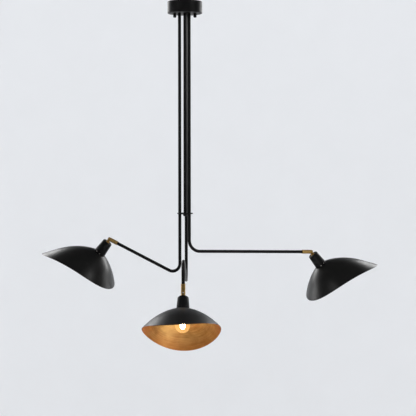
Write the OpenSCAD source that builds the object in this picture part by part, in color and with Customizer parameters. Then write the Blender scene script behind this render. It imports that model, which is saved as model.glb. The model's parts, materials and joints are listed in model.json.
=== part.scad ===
// Three-arm ceiling lamp: a round canopy, a fixed centre stem and three swinging arms
// Millimetres. +Z is up, z = 0 is the ceiling plane, +X is the right of the photograph, +Y points away
// The origin is on the stem's axis, at the top face of the ceiling bracket

/* [Canopy] */
// Outside diameter of the canopy
canopy_d = 120; // [110:1:140]
// Depth of the canopy below the ceiling
canopy_h = 40; // [38:1:50]
// Sheet thickness of the canopy's side wall
canopy_wall = 1.5; // [1:0.1:2]
// Sheet thickness of the canopy's floor
canopy_floor = 2; // [1.5:0.1:3]
// Half the distance between the two bracket studs
stud_x = 35; // [33:0.5:38]
// Stud diameter
stud_d = 4; // [3.5:0.1:5]
// Outside diameter of a cap nut
cap_nut_d = 11; // [9:0.5:12]
// Length of a cap nut below the canopy's floor
cap_nut_h = 14; // [12:0.5:16]

/* [Ceiling bracket] */
// Width of the bracket strap
bracket_w = 24; // [20:1:30]
// Thickness of the bracket strap
bracket_t = 2.5; // [2:0.1:3]
// Half the distance between the two ceiling screw holes
ceiling_hole_x = 46; // [44:0.5:47]
// Diameter of a ceiling screw hole
ceiling_hole_d = 5; // [4:0.1:6]
// Length of the terminal block
block_l = 40; // [30:1:44]

/* [Tubes] */
// Outside diameter of the stem and of the arm tubes
tube_d = 11; // [10:0.1:12]
// Bore of the arm tubes
tube_bore = 8; // [7:0.1:8.4]
// Radius of the circle that the arm tubes stand on
arm_circle = 19.5; // [19:0.1:20.5]
// Direction of the front arm's tube from the stem
arm_phase = 80; // [70:1:90]
// Diameter of the flex inside an arm tube
flex_d = 5; // [4:0.1:6]
// Outside diameter of a retaining collar
collar_d = 19; // [17:0.1:19.4]

/* [Guide plate] */
// Height of the guide plate's lower face
guide_z = -733.5; // [-780:0.5:-700]
// Diameter of the guide plate
guide_d = 55; // [54:0.5:60]
// Thickness of the guide plate
guide_t = 3.5; // [3:0.1:5]
// Outside diameter of a bush
bush_d = 13; // [12.6:0.1:13.4]
// Diameter of the end nut below the guide plate
end_nut_d = 14; // [12:0.5:16]

/* [Left arm] */
// Direction of the left arm
left_az = 163; // [158:1:168]
// Slope of the left arm
left_rise = 24.7; // [18:0.1:30]
// Height of the left arm's corner
left_corner = -950.5; // [-970:0.5:-930]
// Distance from the left tube's axis to its tilt pin
left_reach = 264; // [255:1:290]
// Bend radius of the left tube
left_bend = 28; // [24:1:34]

/* [Right arm] */
// Direction of the right arm
right_az = 18; // [12:1:24]
// Slope of the right arm
right_rise = -2; // [-6:1:4]
// Height of the right arm's corner
right_corner = -863.5; // [-890:0.5:-840]
// Distance from the right tube's axis to its tilt pin
right_reach = 460; // [440:1:480]
// Bend radius of the right tube
right_bend = 40; // [30:1:46]

/* [Front arm] */
// Direction of the front arm
front_az = -90; // [-96:1:-84]
// Slope of the front arm
front_rise = 16.6; // [12:0.1:20]
// Height of the front arm's lower corner
front_corner = -974.5; // [-995:0.5:-965]
// Distance from the front tube's axis to its tilt pin
front_reach = 421; // [400:1:440]
// Bend radius of both bends of the front tube
front_bend = 30; // [26:1:34]
// Drop from the front arm's upper corner to its tilt pin
front_drop = 109.7; // [102:0.1:114]

/* [Swivel] */
// Diameter of the brass barrel
barrel_d = 14; // [13:0.1:15]
// Length of the brass barrel
barrel_l = 39; // [35:0.5:43]
// Distance from the tilt pin to the barrel's free end
barrel_nose = 5.5; // [5:0.1:6.5]
// Diameter of the tilt pin
pin_d = 4; // [3.4:0.1:4.4]
// Thickness of the tongue
tongue_t = 4.8; // [4:0.1:5.2]
// Distance from the tilt pin to the top of the cup
cup_drop = 12.5; // [11.5:0.1:14]

/* [Lamp head] */
// Upward tilt of the left head at rest
left_tilt = 38.7; // [34:0.1:44]
// Upward tilt of the right head at rest
right_tilt = 39.5; // [34:0.1:44]
// Upward tilt of the front head at rest
front_tilt = 41; // [34:0.1:44]
// Diameter of the cup at its top
cup_top_d = 35.5; // [33:0.5:38]
// Diameter of the cup at its base
cup_base_d = 42.5; // [40:0.5:45]
// Height of the cup
cup_h = 51.4; // [47:0.2:54]
// Wall of the cup
cup_wall = 1.4; // [1:0.1:1.6]
// Diameter of the lampholder
holder_d = 26; // [24:0.5:26.5]
// Length of the lampholder
holder_l = 67.8; // [64:0.2:71]
// Diameter of the bulb's globe
bulb_d = 45; // [40:1:48]
// Diameter of the bulb's screw base
bulb_base_d = 14; // [13:0.1:14.4]

/* [Shade] */
// Sheet thickness of the shade
shade_t = 1.2; // [0.8:0.1:1.6]
// Radius of the shade's curved crown, seen from the side
crown_r = 268; // [250:1:290]
// Slope of the shade where the crown starts
crown_start = 24.1; // [20:0.1:27]
// Slope of the shade where the crown runs into the straight skirt
crown_end = 55.5; // [52:0.5:59]
// Depth of the trimmed edge below the crown, on the cup's axis
trim_depth = 102.2; // [95:0.1:110]
// Slope of the trimmed edge, deeper towards the beak
trim_slope = 15; // [12:0.5:18]
// Radius of the cylinder that trims the edge
trim_r = 258; // [240:2:290]
// Turn of the left shade on its holder
left_turn = -7.5; // [-12:0.5:0]
// Turn of the right shade on its holder
right_turn = 5.5; // [0:0.5:12]
// Turn of the front shade on its holder
front_turn = -5; // [-8:0.5:8]

/* [Fits] */
// Radial running clearance of pins and bushes
run_fit = 0.05; // [0.02:0.01:0.09]
// Radial clearance of pieces that are fixed together
fixed_fit = 0.02; // [0.01:0.01:0.05]
// Gap between pieces that move past each other
move_gap = 0.3; // [0.25:0.05:0.4]

/* [Hidden] */
$fn = 96;
over = 1;
touch = 0.1;
tube_r = tube_d / 2;
bore_r = tube_bore / 2;
flange_t = 1.5;
collar_h = 8;
floor_top = canopy_floor - canopy_h;
collar_z = floor_top + flange_t + move_gap;
tube_stub = 4;
tube_top = collar_z + collar_h + tube_stub;
strap_end = 4.5;
bracket_half = ceiling_hole_x + ceiling_hole_d / 2 + strap_end;
stud_nut_h = 3;
stud_nut_w = 1.5;
stud_gap = 0.2;
stud_share = 0.65;
stud_end = -canopy_h - stud_share * cap_nut_h;
cap_round = 0.65;
cap_round_r = cap_round * cap_nut_d;
neck_step = 0.75;
neck_top_r = tube_r - neck_step;
neck_low_r = 4;
neck_wall = 1.5;
neck_out = 2;
stem_nut_h = 6;
stem_nut_r = 7.5;
guide_top = guide_z + guide_t;
end_nut_h = 9;
end_nut_rim = 1;
end_nut_share = 0.6;
neck_end = end_nut_share * end_nut_h;
plate_flange = 0.5;
plate_flange_t = 1;
canopy_flange = 2;
block_h = 13;
block_w = 16;
block_ways = 3;
block_way_d = 5;
pin_r = pin_d / 2;
pin_inset = 0.2;
slot_w = tongue_t + 2 * move_gap;
slot_depth = 9;
socket_depth = 12;
barrel_back = barrel_l - barrel_nose;
flex_seat = 0.2;
flex_tail = 3;
flex_stop = 2;
groove_from = 4;
groove_pitch = 3;
groove_w = 1;
groove_t = 0.4;
eye_r = 5.2;
eye_step = 0.7;
disc_r = 7;
disc_t = 2;
stud_r = 4;
stud_l = 14;
cup_top_t = 2;
base_z = -cup_drop - cup_h;
holder_top = -cup_drop - cup_top_t;
holder_end = holder_top - holder_l;
holder_r = holder_d / 2;
cup_corner = 2.4;
cup_corner_in = 0.7;
cup_corner_down = 0.8;
foot_land = 0.6;
ring_inset = 1;
flat_r = cup_base_d / 2 + foot_land;
ring_r = flat_r - ring_inset;
ring_h = 5;
ring_z = base_z - shade_t - ring_h;
bulb_r = bulb_d / 2;
bulb_base_r = bulb_base_d / 2;
bulb_base_l = 26;
base_wall = 0.8;
base_end_t = 4;
socket_gap = 0.3;
socket_room = 4;
socket_r = bulb_base_r + socket_gap;
hole_gap = 0.3;
bulb_gap = 1;
globe_neck = 7;
glass_t = 1;
glass_neck_r = 8;
neck_end_z = holder_end - bulb_gap;
globe_z = neck_end_z - bulb_r - globe_neck;
screw_up = 5;
screw_z = base_z + screw_up;
screw_r = 1.25;
screw_head_r = 2.2;
screw_head_h = 1.3;
screw_angles = [-108, -72, 72, 108];
crown_cx = flat_r - crown_r * sin(crown_start);
crown_cz = base_z - crown_r * cos(crown_start);
skirt_l = 120;
big = 600;
lap = 0.5;
bend_ease = 0.03;

// Arm data in the order left, right, front
arm_ang = [arm_phase + 120, arm_phase + 240, arm_phase];
arm_az = [left_az, right_az, front_az];
arm_rise = [left_rise, right_rise, front_rise];
arm_corner = [left_corner, right_corner, front_corner];
arm_reach = [left_reach, right_reach, front_reach];
arm_bend = [left_bend, right_bend, front_bend];
arm_drop = [0, 0, front_drop];
arm_end = [left_rise, right_rise, -90];
head_tilt = [left_tilt, right_tilt, front_tilt];
head_turn = [left_turn, right_turn, front_turn];

// Frame of one arm tube: its axis is z, the arm runs along x
module in_tube(i) {
    translate([arm_circle * cos(arm_ang[i]), arm_circle * sin(arm_ang[i]), 0])
        rotate([0, 0, arm_az[i]])
            children();
}

// Frame of one tilt pin: x runs out along the arm, y is the pin
module at_pin(i) {
    in_tube(i)
        translate([arm_reach[i], 0, arm_corner[i] + arm_reach[i] * tan(arm_rise[i]) - arm_drop[i]])
            children();
}

// Frame of one barrel: x is the barrel's axis
module in_barrel(i) {
    at_pin(i)
        rotate([0, -arm_end[i], 0])
            children();
}

// Frame of one head: z is the cup's axis, x points to the shade's beak
module in_head(i) {
    at_pin(i)
        rotate([0, -head_tilt[i], 0])
            children();
}

// One round rod along an arm's bent line, from height top to a distance back from the tilt pin
// The bends are drawn with radius r + ease, and the straight lengths lap into them
module arm_line(i, r, ease, top, back) {
    bend = arm_bend[i];
    rise = arm_rise[i];
    cut = bend * tan((90 + rise) / 2);
    corner = arm_corner[i];
    far = arm_reach[i] / cos(rise);
    upper = corner + arm_reach[i] * tan(rise);
    run_end = arm_drop[i] > 0 ? far - cut + lap : far - back;
    translate([0, 0, corner + cut - lap])
        cylinder(r = r, h = top - corner - cut + lap);
    translate([bend, 0, corner + cut])
        rotate([90, 0, 0])
            rotate([0, 0, 180])
                rotate_extrude(angle = 90 + rise)
                    translate([bend, 0])
                        circle(r = r + ease);
    translate([0, 0, corner])
        rotate([0, 90 - rise, 0])
            translate([0, 0, cut - lap])
                cylinder(r = r, h = run_end - cut + lap);
    if (arm_drop[i] > 0) {
        translate([arm_reach[i] - bend, 0, upper - cut])
            rotate([90, 0, 0])
                rotate_extrude(angle = 90 + rise)
                    translate([bend, 0])
                        circle(r = r + ease);
        translate([arm_reach[i], 0, upper - arm_drop[i] + back])
            cylinder(r = r, h = arm_drop[i] - cut - back + lap);
    }
}

// Steel strap that is screwed to the ceiling
module bracket() {
    color("silver")
        difference() {
            translate([-bracket_half, -bracket_w / 2, -bracket_t])
                cube([2 * bracket_half, bracket_w, bracket_t]);
            for (s = [-1, 1]) {
                translate([s * ceiling_hole_x, 0, -bracket_t - over])
                    cylinder(d = ceiling_hole_d, h = bracket_t + 2 * over);
                translate([s * stud_x, 0, -bracket_t - over])
                    cylinder(r = stud_d / 2 + fixed_fit, h = bracket_t + 2 * over);
            }
        }
}

// Two studs that hang from the bracket, each with its lock nut
module bracket_studs() {
    color("silver")
        for (s = [-1, 1])
            translate([s * stud_x, 0, 0]) {
                translate([0, 0, stud_end])
                    cylinder(r = stud_d / 2, h = -stud_end - stud_gap);
                translate([0, 0, -bracket_t - stud_nut_h])
                    cylinder(r = stud_d / 2 + stud_nut_w, h = stud_nut_h);
            }
}

// Spun cup that covers the wiring and carries the stem and the arms
module canopy() {
    color("#1c1c1c")
        difference() {
            translate([0, 0, -canopy_h])
                cylinder(d = canopy_d, h = canopy_h);
            translate([0, 0, floor_top])
                cylinder(d = canopy_d - 2 * canopy_wall, h = canopy_h);
            translate([0, 0, -canopy_h - over])
                cylinder(r = neck_top_r + fixed_fit, h = canopy_floor + 2 * over);
            for (i = [0:2])
                in_tube(i)
                    translate([0, 0, -canopy_h - over])
                        cylinder(r = bush_d / 2 + fixed_fit, h = canopy_floor + 2 * over);
            for (s = [-1, 1])
                translate([s * stud_x, 0, -canopy_h - over])
                    cylinder(r = stud_d / 2 + stud_gap, h = canopy_floor + 2 * over);
        }
}

// Two cap nuts that hold the canopy up on the studs
module cap_nuts() {
    color("#1c1c1c")
        for (s = [-1, 1])
            translate([s * stud_x, 0, -canopy_h])
                difference() {
                    intersection() {
                        translate([0, 0, -cap_nut_h])
                            cylinder(d = cap_nut_d, h = cap_nut_h);
                        translate([0, 0, cap_round_r - cap_nut_h])
                            union() {
                                sphere(r = cap_round_r);
                                cylinder(d = cap_nut_d + over, h = cap_nut_h);
                            }
                    }
                    translate([0, 0, stud_end + canopy_h - move_gap])
                        cylinder(r = stud_d / 2 + fixed_fit, h = cap_nut_h);
                }
}

// One flanged bush for a tube, standing on a floor of thickness t whose top is at z = 0
module bush(t, flange_r, flange_h) {
    difference() {
        union() {
            translate([0, 0, -t])
                cylinder(r = bush_d / 2, h = t);
            cylinder(r = flange_r, h = flange_h);
        }
        translate([0, 0, -t - over])
            cylinder(r = tube_r + run_fit, h = t + flange_h + 2 * over);
    }
}

// Three nylon bushes in the canopy's floor
module canopy_bushes() {
    color("#2c2c2c")
        for (i = [0:2])
            in_tube(i)
                translate([0, 0, floor_top])
                    bush(canopy_floor, bush_d / 2 + canopy_flange, flange_t);
}

// Fixed centre tube with a turned neck at each end
module stem() {
    color("#1c1c1c")
        difference() {
            union() {
                translate([0, 0, guide_top])
                    cylinder(r = tube_r, h = -canopy_h - guide_top);
                translate([0, 0, -canopy_h])
                    cylinder(r = neck_top_r, h = canopy_floor + stem_nut_h + neck_out);
                translate([0, 0, guide_z - neck_end])
                    cylinder(r = neck_low_r, h = guide_t + neck_end);
            }
            translate([0, 0, guide_z - end_nut_h])
                cylinder(r = neck_low_r - neck_wall, h = -guide_z + end_nut_h);
        }
}

// Hexagon nut on the stem's upper neck
module stem_nut() {
    color("silver")
        translate([0, 0, floor_top])
            difference() {
                cylinder(r = stem_nut_r, h = stem_nut_h, $fn = 6);
                translate([0, 0, -over])
                    cylinder(r = neck_top_r + fixed_fit, h = stem_nut_h + 2 * over);
            }
}

// Round plate that keeps the three arm tubes around the stem
module guide_plate() {
    color("#1c1c1c")
        translate([0, 0, guide_z])
            difference() {
                cylinder(d = guide_d, h = guide_t);
                translate([0, 0, -over])
                    cylinder(r = neck_low_r + fixed_fit, h = guide_t + 2 * over);
                for (i = [0:2])
                    in_tube(i)
                        translate([0, 0, -over])
                            cylinder(r = bush_d / 2 + fixed_fit, h = guide_t + 2 * over);
            }
}

// Three nylon bushes in the guide plate
module guide_bushes() {
    color("#2c2c2c")
        for (i = [0:2])
            in_tube(i)
                translate([0, 0, guide_top])
                    bush(guide_t, bush_d / 2 + plate_flange, plate_flange_t);
}

// Rounded nut that closes the stem below the guide plate
module end_nut() {
    color("#1c1c1c")
        translate([0, 0, guide_z])
            difference() {
                intersection() {
                    translate([0, 0, -end_nut_h])
                        cylinder(d = end_nut_d, h = end_nut_h);
                    translate([0, 0, -end_nut_rim])
                        sphere(r = end_nut_h - end_nut_rim);
                }
                translate([0, 0, -neck_end - move_gap])
                    cylinder(r = neck_low_r + fixed_fit, h = end_nut_h);
            }
}

// Wiring block under the bracket
module terminal_block() {
    color("white")
        translate([-block_l / 2, -block_w / 2, -bracket_t - block_h])
            difference() {
                cube([block_l, block_w, block_h]);
                for (k = [1:block_ways])
                    translate([k * block_l / (block_ways + 1), -over, block_h / 2])
                        rotate([-90, 0, 0])
                            cylinder(d = block_way_d, h = block_w + 2 * over);
            }
}

// Bent tube of one arm
module arm(i) {
    color("#1c1c1c")
        in_tube(i)
            difference() {
                arm_line(i, tube_r, -bend_ease, tube_top, barrel_back - socket_depth);
                arm_line(i, bore_r, bend_ease, tube_top + over, barrel_back - socket_depth - over);
            }
}

// Ring that hangs one arm tube on its canopy bush
module collar(i) {
    color("silver")
        in_tube(i)
            translate([0, 0, collar_z])
                difference() {
                    cylinder(d = collar_d, h = collar_h);
                    translate([0, 0, -over])
                        cylinder(r = tube_r + fixed_fit, h = collar_h + 2 * over);
                }
}

// Brass barrel with a slotted nose
module barrel(i) {
    color("#b8954f")
        in_barrel(i)
            difference() {
                translate([-barrel_back, 0, 0])
                    rotate([0, 90, 0])
                        cylinder(d = barrel_d, h = barrel_l);
                translate([-barrel_back - over, 0, 0])
                    rotate([0, 90, 0])
                        cylinder(r = tube_r + fixed_fit, h = socket_depth + over);
                translate([-barrel_back, 0, 0])
                    rotate([0, 90, 0])
                        cylinder(r = flex_d / 2 + flex_seat, h = barrel_back);
                translate([-slot_depth, -slot_w / 2, -barrel_d])
                    cube([slot_depth + barrel_nose + over, slot_w, 2 * barrel_d]);
                translate([0, barrel_d, 0])
                    rotate([90, 0, 0])
                        cylinder(r = pin_r + fixed_fit, h = 2 * barrel_d);
                for (k = [0, 1])
                    translate([-slot_depth - groove_from - groove_pitch * k, 0, 0])
                        rotate([0, 90, 0])
                            difference() {
                                cylinder(d = barrel_d + 2 * over, h = groove_w);
                                translate([0, 0, -over])
                                    cylinder(d = barrel_d - 2 * groove_t, h = groove_w + 2 * over);
                            }
            }
}

// Tilt pin through one barrel's nose
module pin(i) {
    color("#b8954f")
        in_barrel(i)
            translate([0, barrel_d / 2 - pin_inset, 0])
                rotate([90, 0, 0])
                    cylinder(r = pin_r, h = barrel_d - 2 * pin_inset);
}

// Flex inside one arm tube
module flex(i) {
    color("#3a3a3a")
        in_tube(i)
            arm_line(i, flex_d / 2, -bend_ease, tube_top + flex_tail, slot_depth + flex_stop);
}

// Flat eye, seat and stud that carry one cup
module tongue(i) {
    color("#b8954f")
        in_head(i)
            difference() {
                union() {
                    translate([0, tongue_t / 2, 0])
                        rotate([90, 0, 0])
                            cylinder(r = eye_r, h = tongue_t);
                    translate([-eye_r + eye_step, -tongue_t / 2, -cup_drop + disc_t / 2])
                        cube([2 * (eye_r - eye_step), tongue_t, cup_drop - disc_t / 2]);
                    translate([0, 0, -cup_drop])
                        cylinder(r = disc_r, h = disc_t);
                    translate([0, 0, -cup_drop - stud_l])
                        cylinder(r = stud_r, h = stud_l);
                }
                translate([0, tongue_t, 0])
                    rotate([90, 0, 0])
                        cylinder(r = pin_r + run_fit, h = 2 * tongue_t);
            }
}

// Tapered black cup over the lampholder
module cup(i) {
    top_r = cup_top_d / 2;
    base_r = cup_base_d / 2;
    color("#1c1c1c")
        in_head(i)
            difference() {
                rotate_extrude()
                    polygon([
                        [stud_r + fixed_fit, -cup_drop],
                        [top_r - cup_corner, -cup_drop],
                        [top_r - cup_corner_in, -cup_drop - cup_corner_down],
                        [top_r, -cup_drop - cup_corner],
                        [base_r, base_z],
                        [base_r - cup_wall, base_z],
                        [top_r - cup_wall, holder_top],
                        [stud_r + fixed_fit, holder_top]]);
                for (a = screw_angles)
                    rotate([0, 0, a])
                        translate([0, 0, screw_z])
                            rotate([0, 90, 0])
                                cylinder(r = screw_r + fixed_fit, h = base_r + over);
            }
}

// Small screws through the foot of one cup
module cup_screws(i) {
    base_r = cup_base_d / 2;
    color("silver")
        in_head(i)
            for (a = screw_angles)
                rotate([0, 0, a])
                    translate([0, 0, screw_z])
                        rotate([0, 90, 0]) {
                            translate([0, 0, holder_r + touch])
                                cylinder(r = screw_r, h = base_r - holder_r);
                            translate([0, 0, base_r - touch])
                                cylinder(r = screw_head_r, h = screw_head_h);
                        }
}

// Lampholder: takes the tongue's stud above and the bulb below
module holder(i) {
    color("#e8e6e0")
        in_head(i)
            difference() {
                translate([0, 0, holder_end])
                    cylinder(r = holder_r, h = holder_l);
                translate([0, 0, holder_top - stud_l])
                    cylinder(r = stud_r + fixed_fit, h = stud_l + over);
                translate([0, 0, holder_end - over])
                    cylinder(r = socket_r, h = bulb_base_l + socket_room);
            }
}

// Ring nut that clamps one shade against its cup
module ring(i) {
    color("#e8e6e0")
        in_head(i)
            translate([0, 0, ring_z])
                difference() {
                    cylinder(r = ring_r, h = ring_h);
                    translate([0, 0, -over])
                        cylinder(r = holder_r + fixed_fit, h = ring_h + 2 * over);
                }
}

// Point on the shade's crown at slope a, a depth t inside its outer face
function crown_at(a, t) = [crown_cx + (crown_r - t) * sin(a), crown_cz + (crown_r - t) * cos(a)];

// Point on the shade's straight skirt, a length l past the crown and a depth t inside its outer face
function skirt_at(l, t) = crown_at(crown_end, t) + [l * cos(crown_end), -l * sin(crown_end)];

// Half section of the shade before its edge is trimmed
module shade_section() {
    steps = 16;
    step = (crown_end - crown_start) / steps;
    polygon(concat(
        [[holder_r + hole_gap, base_z]],
        [for (k = [0:steps]) crown_at(crown_start + k * step, 0)],
        [skirt_at(skirt_l, 0), skirt_at(skirt_l, shade_t)],
        [for (k = [steps:-1:0]) crown_at(crown_start + k * step, shade_t)],
        [[holder_r + hole_gap, base_z - shade_t]]));
}

// Spun shade, trimmed to a long beak and a short back
module shade(i) {
    color("#1c1c1c")
        in_head(i)
            rotate([0, 0, head_turn[i]])
                intersection() {
                    rotate_extrude()
                        shade_section();
                    translate([0, 0, base_z - trim_depth])
                        rotate([0, trim_slope, 0])
                            translate([0, 0, trim_r])
                                rotate([0, 90, 0])
                                    cylinder(r = trim_r, h = big, center = true);
                }
}

// Glass globe of one bulb
module bulb(i) {
    color("#f5ead0")
        in_head(i)
            translate([0, 0, globe_z])
                difference() {
                    union() {
                        sphere(r = bulb_r);
                        cylinder(r = glass_neck_r, h = neck_end_z - globe_z);
                    }
                    sphere(r = bulb_r - glass_t);
                    cylinder(r = glass_neck_r - glass_t, h = holder_end - globe_z);
                }
}

// Screw base of one bulb
module bulb_base(i) {
    color("silver")
        in_head(i)
            translate([0, 0, neck_end_z])
                difference() {
                    cylinder(r = bulb_base_r, h = bulb_base_l);
                    translate([0, 0, -over])
                        cylinder(r = bulb_base_r - base_wall, h = bulb_base_l + over - base_end_t);
                }
}

bracket();
bracket_studs();
canopy();
cap_nuts();
canopy_bushes();
stem();
stem_nut();
guide_plate();
guide_bushes();
end_nut();
terminal_block();
arm(0);  // left_arm
collar(0);  // left_collar
barrel(0);  // left_barrel
pin(0);  // left_pin
flex(0);  // left_flex
arm(1);  // right_arm
collar(1);  // right_collar
barrel(1);  // right_barrel
pin(1);  // right_pin
flex(1);  // right_flex
arm(2);  // front_arm
collar(2);  // front_collar
barrel(2);  // front_barrel
pin(2);  // front_pin
flex(2);  // front_flex
tongue(0);  // left_tongue
cup(0);  // left_cup
cup_screws(0);  // left_cup_screws
holder(0);  // left_holder
ring(0);  // left_ring
shade(0);  // left_shade
bulb(0);  // left_bulb
bulb_base(0);  // left_bulb_base
tongue(1);  // right_tongue
cup(1);  // right_cup
cup_screws(1);  // right_cup_screws
holder(1);  // right_holder
ring(1);  // right_ring
shade(1);  // right_shade
bulb(1);  // right_bulb
bulb_base(1);  // right_bulb_base
tongue(2);  // front_tongue
cup(2);  // front_cup
cup_screws(2);  // front_cup_screws
holder(2);  // front_holder
ring(2);  // front_ring
shade(2);  // front_shade
bulb(2);  // front_bulb
bulb_base(2);  // front_bulb_base
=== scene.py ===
import json
import math

import bpy
from bpy.props import FloatProperty, FloatVectorProperty, PointerProperty
from mathutils import Matrix, Vector


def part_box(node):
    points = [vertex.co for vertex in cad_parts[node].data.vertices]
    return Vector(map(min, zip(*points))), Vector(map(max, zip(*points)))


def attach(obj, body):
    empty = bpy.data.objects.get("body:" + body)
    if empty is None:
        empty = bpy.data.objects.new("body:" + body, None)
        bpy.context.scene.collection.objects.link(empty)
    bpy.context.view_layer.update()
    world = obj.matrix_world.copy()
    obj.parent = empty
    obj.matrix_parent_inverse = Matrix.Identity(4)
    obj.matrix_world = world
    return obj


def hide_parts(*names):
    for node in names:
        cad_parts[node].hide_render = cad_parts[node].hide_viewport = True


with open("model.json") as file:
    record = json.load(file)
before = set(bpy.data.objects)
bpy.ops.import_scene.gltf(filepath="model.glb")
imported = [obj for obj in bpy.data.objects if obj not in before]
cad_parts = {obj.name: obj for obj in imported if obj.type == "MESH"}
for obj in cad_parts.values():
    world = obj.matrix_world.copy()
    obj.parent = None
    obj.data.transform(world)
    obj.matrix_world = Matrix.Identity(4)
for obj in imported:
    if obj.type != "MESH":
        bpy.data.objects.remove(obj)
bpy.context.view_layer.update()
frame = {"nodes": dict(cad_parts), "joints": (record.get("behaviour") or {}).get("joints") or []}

bl_info = {
    "name": "Three-arm ceiling lamp",
    "version": (1, 0, 0),
    "blender": (4, 5, 0),
    "location": "View3D > Sidebar > Lamp",
    "description": "Models and finishes the pieces of a ceiling lamp with three swinging arms",
    "category": "Object",
}

MM = 0.001
TURN = 2 * math.pi
SAME = 1e-6  # Points closer than this, in metres, are one
SMOOTH = math.radians(38)  # Edges flatter than this are shaded smooth
FIT = 0.02 * MM  # Play of a snug fit
RUNNING = 0.05 * MM  # Play of a fit that turns
CHAMFER = 0.3 * MM  # Broken edge of a turned piece
DRILL = 12 * MM  # Length of a drill through sheet
SOCKET = 12 * MM  # Depth of a tube in its barrel
NECK_STEP = 0.75 * MM  # Step from the stem to its upper neck
STUD_R = 4 * MM  # Radius of the stem's lower neck and of the tongues' studs
STUD_L = 14 * MM  # Length of a tongue's stud
CUP_TOP = 2 * MM  # Thickness of a cup's top
SIDES = (-1, 1)
ARMS = ("left", "right", "front")
JOINTS = {j["name"]: j for j in frame["joints"]}
FINISHES = {}
RGBA = {"data_type": "RGBA"}
LATHE = {"attribute_name": "turning"}


# Values and frames

def linear(code):
    """A hex colour as Blender's linear RGB."""
    parts = [int(code[i:i + 2], 16) / 255 for i in (1, 3, 5)]
    return tuple(c / 12.92 if c <= 0.04045 else ((c + 0.055) / 1.055) ** 2.4 for c in parts)


def length(name, text, mm):
    """A length property, given in millimetres."""
    return FloatProperty(name=name, description=text, default=mm * MM, unit="LENGTH")


def three(name, text, values, unit="LENGTH"):
    """A property with one value for each arm: left, right, front."""
    scale = MM if unit == "LENGTH" else math.pi / 180
    return FloatVectorProperty(name=name, description=text, size=3, unit=unit, default=[v * scale for v in values])


def angle(name, text, degrees):
    """An angle property, given in degrees."""
    return FloatProperty(name=name, description=text, default=math.radians(degrees), unit="ROTATION")


def colour(name, text, code):
    """A colour property, given as a hex colour."""
    return FloatVectorProperty(name=name, description=text, size=3, subtype="COLOR", min=0, max=1, default=linear(code))


class CeilingSizes(bpy.types.PropertyGroup):
    """Sizes of the canopy, the bracket, the stem and the guide plate"""
    canopy_d: length("Canopy diameter", "Outside diameter of the canopy", 120)
    canopy_h: length("Canopy depth", "Depth of the canopy below the ceiling", 40)
    canopy_wall: length("Canopy wall", "Sheet thickness of the canopy's side", 1.5)
    canopy_floor: length("Canopy floor", "Sheet thickness of the canopy's floor", 2)
    canopy_edge: length("Canopy edge", "Radius of the canopy's lower edge", 2)
    stud_x: length("Stud offset", "Half the distance between the studs", 35)
    stud_d: length("Stud diameter", "Diameter of a bracket stud", 4)
    cap_d: length("Cap nut diameter", "Outside diameter of a cap nut", 11)
    cap_h: length("Cap nut length", "Length of a cap nut", 14)
    strap_l: length("Strap length", "Length of the ceiling strap", 106)
    strap_w: length("Strap width", "Width of the ceiling strap", 24)
    strap_t: length("Strap thickness", "Thickness of the ceiling strap", 2.5)
    hole_x: length("Screw hole offset", "Half the distance between the ceiling screw holes", 46)
    hole_d: length("Screw hole", "Diameter of a ceiling screw hole", 5)
    plate_z: length("Plate height", "Height of the guide plate's lower face", -733.5)
    plate_d: length("Plate diameter", "Diameter of the guide plate", 55)
    plate_t: length("Plate thickness", "Thickness of the guide plate", 3.5)
    bush_d: length("Bush diameter", "Outside diameter of a bush", 13)
    end_d: length("End nut diameter", "Diameter of the rounded nut below the plate", 14)
    end_h: length("End nut height", "Height of the rounded nut below the plate", 9)


class ArmSizes(bpy.types.PropertyGroup):
    """Sizes of the arm tubes, the barrels and the tongues"""
    tube_d: length("Tube diameter", "Outside diameter of the tubes", 11)
    tube_bore: length("Tube bore", "Bore of the tubes", 8)
    rise: three("Slope", "Slope of each arm", (24.7, -2, 16.6), "ROTATION")
    corner: three("Corner height", "Height of each arm's lower corner", (-950.5, -863.5, -974.5))
    reach: three("Reach", "Distance from each tube's axis to its tilt pin", (264, 460, 421))
    bend: three("Bend radius", "Bend radius of each tube", (28, 40, 30))
    drop: length("Front drop", "Drop from the front arm's upper corner to its tilt pin", 109.7)
    collar_d: length("Collar diameter", "Outside diameter of a collar", 19)
    collar_h: length("Collar height", "Height of a collar", 8)
    barrel_d: length("Barrel diameter", "Diameter of a brass barrel", 14)
    barrel_l: length("Barrel length", "Length of a brass barrel", 39)
    barrel_nose: length("Barrel nose", "Distance from the tilt pin to the barrel's free end", 5.5)
    slot_w: length("Slot width", "Width of the slot in a barrel's nose", 5.4)
    slot_depth: length("Slot depth", "Depth of that slot behind the pin", 5.45)
    pin_d: length("Pin diameter", "Diameter of a tilt pin", 4)
    tongue_t: length("Tongue thickness", "Thickness of a tongue", 4.8)
    tongue_r: length("Tongue radius", "Radius of a tongue's eye", 5.2)


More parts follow.
